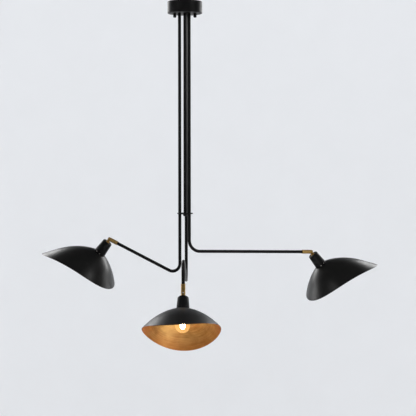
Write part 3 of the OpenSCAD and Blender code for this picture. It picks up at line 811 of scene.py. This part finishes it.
class LAMP_OT_collars(bpy.types.Operator):
    """Plated rings that hang the tubes on their bushes, each with a grub screw"""
    bl_idname = "lamp.collars"
    bl_label = "Collars"

    def execute(self, context):
        c, a, _ = sizes(context)
        r, bore, high, above_floor = a.collar_d / 2, a.tube_d / 2 + FIT, a.collar_h, 1.8 * MM
        screw_r, key_r, sunk = 2 * MM, 1 * MM, 2 * MM
        ring = soften(turned("collar", [(bore, 0), (r, 0), (r, high), (bore, high)], 64), 0.5 * MM, 3)
        cut(ring, rod("screw_hole", screw_r, sunk, (r, 0, high / 2), "X", 24))
        cut(ring, rod("key", key_r, 1.5 * sunk, (r - sunk, 0, high / 2), "X", 6))
        lift = Matrix.Translation((0, 0, canopy_floor(c) + above_floor))
        on_each_arm(lambda n: tube_frame(n) @ lift, "arm_body",
                    (ring, "collar_ring", "bracket_steel", "collar", "zinc_plated_steel"))
        return {"FINISHED"}


class LAMP_OT_flexes(bpy.types.Operator):
    """Gives the hidden flex in each tube its rubber sleeve"""
    bl_idname = "lamp.flexes"
    bl_label = "Flexes"

    def execute(self, context):
        for n in ARMS:
            mesh = frame["nodes"][n + "_flex"].data
            mesh.materials.clear()
            mesh.materials.append(FINISHES["rubber_sleeve"])
        return {"FINISHED"}


class LAMP_OT_barrels(bpy.types.Operator):
    """Turned brass barrels with grooves and a slotted nose, and their tilt pins"""
    bl_idname = "lamp.barrels"
    bl_label = "Barrels and pins"

    def execute(self, context):
        _, a, _ = sizes(context)
        r, back, nose, socket = a.barrel_d / 2, a.barrel_nose - a.barrel_l, a.barrel_nose, a.tube_d / 2 + FIT
        inner, bore, groove_r, groove_w = back + SOCKET, 2.7 * MM, r - 0.7 * MM, 1 * MM
        section = [(socket, back), (r, back)]
        for z in (-16 * MM, -13 * MM):
            section += [(r, z), (groove_r, z), (groove_r, z + groove_w), (r, z + groove_w)]
        barrel = turned("barrel", section + [(r, nose), (bore, nose), (bore, inner), (socket, inner)], 64)
        # The slot's floor slopes down to both sides, so that the tongue can fold back
        lean = math.radians(18)
        ridge, high = -a.slot_depth / math.cos(lean), nose + 2 * MM
        low = ridge - 2 * r * math.tan(lean)
        saw = bar("saw", (4 * r, a.slot_w, high - low), (0, 0, (high + low) / 2))
        pick(saw, "EDGE", lambda e: abs(ends(saw, e)[0].x - ends(saw, e)[1].x) > r)
        bpy.ops.mesh.subdivide(number_cuts=1)
        close()
        pick(saw, "EDGE", lambda e: all(abs(p.x) < r and p.z < 0 for p in ends(saw, e)))
        bpy.ops.transform.translate(value=(0, 0, ridge - low))
        close()
        cut(barrel, saw)
        cut(barrel, rod("drill", a.pin_d / 2 + FIT, 4 * r, (0, 0, 0), "Y"))
        soften(barrel, 0.22 * MM, 3, 40)
        mark_turning(barrel)
        half, p, tip = r - 0.2 * MM, a.pin_d / 2, 0.4 * MM
        end_r = p - 0.5 * MM
        section = [(0, -half), (end_r, -half), (p, tip - half), (p, half - tip), (end_r, half), (0, half)]
        pin = turned("pin", section, 32, False)
        cut(pin, bar("screwdriver_slot", (0.7 * MM, 3 * p, 1.2 * MM), (0, 0, half)))
        mark_turning(pin)
        only(pin)
        pin.rotation_euler.x = math.pi / 2
        apply()
        on_each_arm(lambda n: barrel_frame(n, a), "arm_body",
                    (barrel, "barrel_turned", "brass", "barrel", "turned_brass"),
                    (pin, "pin_turned", "brass", "pin", "turned_brass"))
        return {"FINISHED"}


# Heads

class LAMP_OT_tongues(bpy.types.Operator):
    """Brass tongues: a flat eye on a round seat with a stud"""
    bl_idname = "lamp.tongues"
    bl_label = "Tongues"

    def execute(self, context):
        _, a, h = sizes(context)
        r, t, drop, tip = a.tongue_r, a.tongue_t, h.cup_drop, 0.4 * MM
        web_h, seat_r, seat_h, bevel, end = drop - 1 * MM, 7 * MM, 2 * MM, 0.6 * MM, -drop - STUD_L
        eye = rod("tongue", r, t, (0, 0, 0), "Y", 64)
        web = bar("web", (2 * r - 1.4 * MM, t, web_h), (0, 0, -web_h / 2))
        section = [(0, end), (STUD_R - tip, end), (STUD_R, end + tip), (STUD_R, -drop), (seat_r, -drop),
                   (seat_r, seat_h - bevel - drop), (seat_r - bevel, seat_h - drop), (0, seat_h - drop)]
        cut(eye, web, turned("seat", section, 48, False), operation="UNION")
        cut(eye, rod("drill", a.pin_d / 2 + RUNNING, 3 * t, (0, 0, 0), "Y"))
        soften(eye, 0.3 * MM, 3, 40)
        mark_turning(eye)
        on_each_arm(lambda n: head_frame(n, h), "head", (eye, "tongue_brass", "brass", "tongue", "turned_brass"))
        return {"FINISHED"}


class LAMP_OT_cups(bpy.types.Operator):
    """Tapered black cups and the small screws round the foot of each"""
    bl_idname = "lamp.cups"
    bl_label = "Cups and screws"

    def execute(self, context):
        _, _, h = sizes(context)
        top, low, e, w = -h.cup_drop, -h.cup_drop - h.cup_h, h.cup_edge, h.cup_wall
        upper, lower, hole = h.cup_top_d / 2, h.cup_base_d / 2, STUD_R + FIT
        section = [(hole, top)] + arc(upper - e, top - e, e, 90, 4, 10)
        section += [(lower - 0.04 * MM, low + 0.5 * MM), (lower - CHAMFER, low), (lower - w, low)]
        cup = turned("cup", section + [(upper - w, top - CUP_TOP), (hole, top - CUP_TOP)], 96)
        shank, shank_r = lower - h.holder_d / 2 - 0.2 * MM, 1.25 * MM
        head_r, rim, dome = 2.2 * MM, 0.4 * MM, 0.9 * MM
        section = [(0, -shank), (shank_r, -shank), (shank_r, 0), (head_r, 0), (head_r, rim)]
        section += arc(head_r - dome, rim, dome, 0, 90, 6) + [(0, rim + dome)]
        screw = turned("screw", section, 32, False)
        cut(screw, bar("screwdriver_slot", (6 * MM, 0.7 * MM, 1 * MM), (0, 0, rim + dome)))
        outwards = Matrix.Translation((lower - 0.1 * MM, 0, low + 5 * MM)) @ Matrix.Rotation(math.pi / 2, 4, "Y")
        screws = [screw] + [twin(screw, f"screw_{k}") for k in range(1, 4)]
        for k, degrees in enumerate((-108, -72, 72, 108)):
            round_cup = Matrix.Rotation(math.radians(degrees), 4, "Z")
            screws[k].matrix_world = round_cup @ outwards @ Matrix.Rotation(0.7 * k, 4, "Z")
        only(*screws)
        apply()
        screws = join("foot_screws", screws)
        on_each_arm(lambda n: head_frame(n, h), "head",
                    (cup, "cup_spun", "black_paint", "cup", "black_powder_coat"),
                    (screws, "foot_screws", "screw_steel", "cup_screws", "bright_nickel_plate"))
        return {"FINISHED"}


class LAMP_OT_holders(bpy.types.Operator):
    """Threaded lampholders and the notched ring nuts that clamp the shades"""
    bl_idname = "lamp.holders"
    bl_label = "Holders and ring nuts"

    def execute(self, context):
        _, _, h = sizes(context)
        r, top, stud = h.holder_d / 2, -h.cup_drop - CUP_TOP, STUD_R + FIT
        low, base, socket = top - h.holder_l, -h.cup_drop - h.cup_h, h.base_d / 2 + 0.3 * MM
        bevel, inside = 0.6 * MM, low + 29 * MM
        section = [(0, top - STUD_L), (stud, top - STUD_L), (stud, top), (r - bevel, top), (r, top - bevel)]
        section += [(r, base + 1 * MM)] + thread(r, 0.45 * MM, 2 * MM, low + 1.5 * MM, base)[::-1]
        section += [(r - 0.8 * MM, low), (socket + bevel, low), (socket, low + bevel), (socket, inside), (0, inside)]
        holder = turned("holder", section, 72, False)
        ring_r, ring_h, facets = h.cup_base_d / 2 - 0.4 * MM, 5 * MM, 72
        ring_low = base - h.shade_t - ring_h
        ring = rod("ring", ring_r, ring_h, (0, 0, ring_low + ring_h / 2), sides=facets)
        # Every third facet of its side is pressed in, for the key
        pick(ring, "FACE", lambda f: abs(f.normal.z) < 0.5
             and math.floor(math.atan2(f.center.y, f.center.x) / TURN * facets) % 3 == 0)
        bpy.ops.mesh.inset(thickness=0.15 * MM, depth=-0.9 * MM, use_individual=True)
        close()
        cut(ring, rod("drill", r + FIT, 4 * ring_h, (0, 0, ring_low), sides=facets))
        soften(ring, 0.2 * MM, 2, 50)
        on_each_arm(lambda n: head_frame(n, h), "head",
                    (holder, "holder_turned", "holder_plastic", "holder", "cream_thermoplastic"),
                    (ring, "ring_nut", "holder_plastic", "ring", "cream_thermoplastic"))
        return {"FINISHED"}


class LAMP_OT_bulbs(bpy.types.Operator):
    """Lit etched globes with their filaments, and their threaded bases"""
    bl_idname = "lamp.bulbs"
    bl_label = "Bulbs"

    def execute(self, context):
        _, _, h = sizes(context)
        low = -h.cup_drop - CUP_TOP - h.holder_l - 1 * MM
        r, neck, fillet = h.bulb_d / 2, 8 * MM, 5 * MM
        middle = low - r - 7 * MM
        # The neck's fillet touches the globe and the straight neck
        lift = math.sqrt((r + fillet) ** 2 - (neck + fillet) ** 2)
        meet = math.degrees(math.atan2(lift, neck + fillet))
        section = arc(0, middle, r, -90, meet, 40)[:-1]
        section += arc(neck + fillet, middle + lift, fillet, 180 + meet, 180, 8) + [(neck, low), (0, low)]
        run = [0]
        for p, q in zip(section, section[1:]):
            run.append(run[-1] + math.dist(p, q))

        def along(radius, z):
            """Metres along the section from the globe's lowest point."""
            near = min(range(len(section)), key=lambda k: math.dist(section[k], (radius, z)))
            return run[near]
        globe = turned("globe", section, 64, False)
        mark_turning(globe, along)
        globe.data.materials.append(FINISHES["warm_bulb_glass"])
        wick, half = 7 * MM, 4 * MM
        capsule = arc(0, middle - half, wick, -90, 0, 6) + arc(0, middle + half, wick, 0, 90, 6)
        core = turned("core", capsule, 24, False)
        mark_turning(core)
        core.data.materials.append(FINISHES["glowing_filament"])
        globe = join("globe", [globe, core])
        b, high = h.base_d / 2, low + 26 * MM
        cap = [(0, low), (b - CHAMFER, low)] + thread(b, 0.5 * MM, 2.8 * MM, low + 2 * MM, high - 5 * MM)
        cap += [(b - 1.2 * MM, high - 4 * MM), (3.2 * MM, high - 1.4 * MM), (2.4 * MM, high - 0.4 * MM), (0, high)]
        base = turned("base", cap, 48, False)
        on_each_arm(lambda n: head_frame(n, h), "head", (globe, "bulb_globe", "bulb_glass", "bulb"),
                    (base, "bulb_cap", "bulb_metal", "bulb_base", "bright_nickel_plate"))
        return {"FINISHED"}


class LAMP_OT_shades(bpy.types.Operator):
    """Spun shades, drawn out to a long beak and a short back: black outside, gold inside"""
    bl_idname = "lamp.shades"
    bl_label = "Shades"

    def execute(self, context):
        _, _, h = sizes(context)
        base, flat, hole = -h.cup_drop - h.cup_h, h.cup_base_d / 2 + 0.6 * MM, h.holder_d / 2 + 0.3 * MM
        bow = h.crown_r * (h.crown_end - h.crown_start)
        rows, spokes, longest, halvings = 56, 180, 250 * MM, 40

        def at(s):
            """Radius and height a distance s down the outer face from the flat ring."""
            t, over = min(h.crown_start + s / h.crown_r, h.crown_end), max(s - bow, 0)
            return (flat + h.crown_r * (math.sin(t) - math.sin(h.crown_start)) + over * math.cos(h.crown_end),
                    base + h.crown_r * (math.cos(t) - math.cos(h.crown_start)) - over * math.sin(h.crown_end))

        def edge(turn):
            """Length of the outer face down to the trimmed edge in one direction."""
            near, far = 0.0, 400 * MM
            for _ in range(halvings):
                s = (near + far) / 2
                r, z = at(s)
                x, y, up = r * math.cos(turn), r * math.sin(turn), z - base + h.trim_depth
                rise = math.sin(h.trim_slope) * x + math.cos(h.trim_slope) * up
                near, far = (s, far) if math.hypot(y, rise - h.trim_r) < h.trim_r else (near, s)
            return near - 0.8 * MM
        steps = [longest * k / rows for k in range(rows + 1)]
        section = [(hole, base), (flat - 1 * MM, base)] + [at(s) for s in steps]
        shade = turned("shade", section, spokes, False)
        # Each spoke is drawn in or out, so that its last point lies on the trimmed edge
        reach = {}
        for v in shade.data.vertices:
            r, turn = math.hypot(v.co.x, v.co.y), math.atan2(v.co.y, v.co.x)
            if r < flat - 0.5 * MM:
                continue
            k = min(range(rows + 1), key=lambda i: abs(section[i + 2][0] - r))
            key = round(turn, 4)
            if key not in reach:
                reach[key] = edge(turn)
            r, z = at(steps[k] * reach[key] / longest)
            v.co = (r * math.cos(turn), r * math.sin(turn), z)
        only(shade)
        edit()
        bpy.ops.mesh.normals_make_consistent(inside=False)
        close()
        top_face = max(shade.data.polygons, key=lambda f: f.center.z)
        if top_face.normal.z < 0:
            edit()
            bpy.ops.mesh.flip_normals()
            close()
        shade.data.materials.append(FINISHES["black_lacquer"])
        shade.data.materials.append(FINISHES["brushed_gold"])
        modify(shade, "SOLIDIFY", thickness=h.shade_t, offset=-1, use_even_offset=True,
               material_offset=1, material_offset_rim=0)
        soften(shade, 0.3 * MM, 2, 60)
        mark_turning(shade, lambda r, z: r)
        on_each_arm(lambda n: head_frame(n, h) @ Matrix.Rotation(h.turn[ARMS.index(n)], 4, "Z"), "head",
                    (shade, "shade_spun", "shade_sheet", "shade"))
        return {"FINISHED"}


# Stage

class LAMP_OT_stage(bpy.types.Operator):
    """Pale seamless floor and wall, soft lights, and the camera"""
    bl_idname = "lamp.stage"
    bl_label = "Stage"

    def execute(self, context):
        scene = context.scene
        scene.view_settings.view_transform = "Standard"
        floor, wide, cove, high = -6.0, 6.0, 2.5, 3.5
        section = [(0, floor), (wide, floor)] + arc(wide, floor + cove, cove, -90, 0, 24) + [(wide + cove, high)]
        bowl = turned("pale_floor", section, 96, False)
        only(bowl)
        bpy.ops.object.shade_smooth()
        bowl.data.materials.append(FINISHES["painted_backdrop"])
        world = bpy.data.worlds.new("soft_sky")
        scene.world = world
        world.use_nodes = True
        tree = world.node_tree
        # Reflections see the sky dim, and the camera sees it as pale as the wall
        lit, mirrored, seen = 1.2, 0.03, 0.975
        rays = add(tree, "LightPath").outputs
        fill = add(tree, "MapRange", Value=rays["Is Glossy Ray"], To_Min=lit, To_Max=mirrored)
        fill = add(tree, "Mix", _0=rays["Is Camera Ray"], _2=fill, _3=seen)
        feed(tree, tree.nodes["Background"], Color=shade_of(linear("#EEF1F6")), Strength=fill)
        # Name, place, target, width, height, watts
        lights = (("back_left_softbox", (-2.6, 3.4, 0.7), (0.0, 0.0, -0.9), 2.2, 1.8, 62),
                  ("back_right_softbox", (2.8, 3.4, 0.7), (0.0, 0.0, -0.9), 2.2, 1.8, 62),
                  ("left_softbox", (-3.4, 1.5, -0.9), (0.0, 0.0, -0.9), 1.4, 1.6, 20),
                  ("right_softbox", (3.6, 1.5, -0.9), (0.0, 0.0, -0.9), 1.4, 1.6, 13),
                  ("floor_bounce", (0.9, -1.6, -2.2), (-0.1, -0.5, -1.0), 1.7, 1.3, 9),
                  ("front_left_softbox", (-2.1, -2.4, 1.1), (0.4, 0.0, -0.9), 0.8, 0.8, 6),
                  ("front_right_softbox", (2.6, -2.0, 1.0), (-0.3, 0.0, -0.9), 0.8, 0.8, 9))
        for name, at, target, width, height, watts in lights:
            lamp = bpy.data.lights.new(name, "AREA")
            lamp.shape, lamp.size, lamp.size_y, lamp.energy = "RECTANGLE", width, height, watts
            obj = bpy.data.objects.new(name, lamp)
            scene.collection.objects.link(obj)
            obj.location = at
            obj.visible_camera = False
            obj.rotation_euler = (Vector(target) - Vector(at)).to_track_quat("-Z", "Y").to_euler()
        lens = bpy.data.cameras.new("photo_camera")
        lens.sensor_width, lens.lens, lens.shift_y, lens.clip_end = 36, 88.35, 0.001, 60
        camera = bpy.data.objects.new("photo_camera", lens)
        scene.collection.objects.link(camera)
        camera.location = (0.0857, -3.560, -0.5017)
        look_down, look_left = math.radians(3.418), math.radians(0.092)
        camera.rotation_euler = (math.pi / 2 - look_down, 0, look_left)
        scene.camera = camera
        return {"FINISHED"}


class LAMP_PT_panel(bpy.types.Panel):
    """Lists the lamp's operators and sizes"""
    bl_idname = "LAMP_PT_panel"
    bl_label = "Ceiling lamp"
    bl_space_type = "VIEW_3D"
    bl_region_type = "UI"
    bl_category = "Lamp"

    def draw(self, context):
        for made in OPERATORS:
            self.layout.operator(made.bl_idname, text=made.bl_label)
        for name, group in GROUPS:
            box = self.layout.box()
            for key in group.__annotations__:
                box.prop(getattr(context.scene, name), key)


GROUPS = (("lamp_ceiling", CeilingSizes), ("lamp_arms", ArmSizes), ("lamp_heads", HeadSizes),
          ("lamp_colours", LampColours))
OPERATORS = (LAMP_OT_finishes, LAMP_OT_stage, LAMP_OT_canopy, LAMP_OT_cap_nuts, LAMP_OT_bracket,
             LAMP_OT_terminal_block, LAMP_OT_bushes, LAMP_OT_stem, LAMP_OT_guide_plate, LAMP_OT_arm_tubes,
             LAMP_OT_collars, LAMP_OT_flexes, LAMP_OT_barrels, LAMP_OT_tongues, LAMP_OT_cups, LAMP_OT_holders,
             LAMP_OT_bulbs, LAMP_OT_shades)


def register():
    for name, group in GROUPS:
        bpy.utils.register_class(group)
        setattr(bpy.types.Scene, name, PointerProperty(type=group))
    for made in OPERATORS + (LAMP_PT_panel,):
        bpy.utils.register_class(made)


def unregister():
    for made in (LAMP_PT_panel,) + OPERATORS[::-1]:
        bpy.utils.unregister_class(made)
    for name, group in GROUPS[::-1]:
        delattr(bpy.types.Scene, name)
        bpy.utils.unregister_class(group)


def main():
    register()
    for made in OPERATORS:
        family, name = made.bl_idname.split(".")
        getattr(getattr(bpy.ops, family), name)()
    clear()


if __name__ == "__main__":
    main()
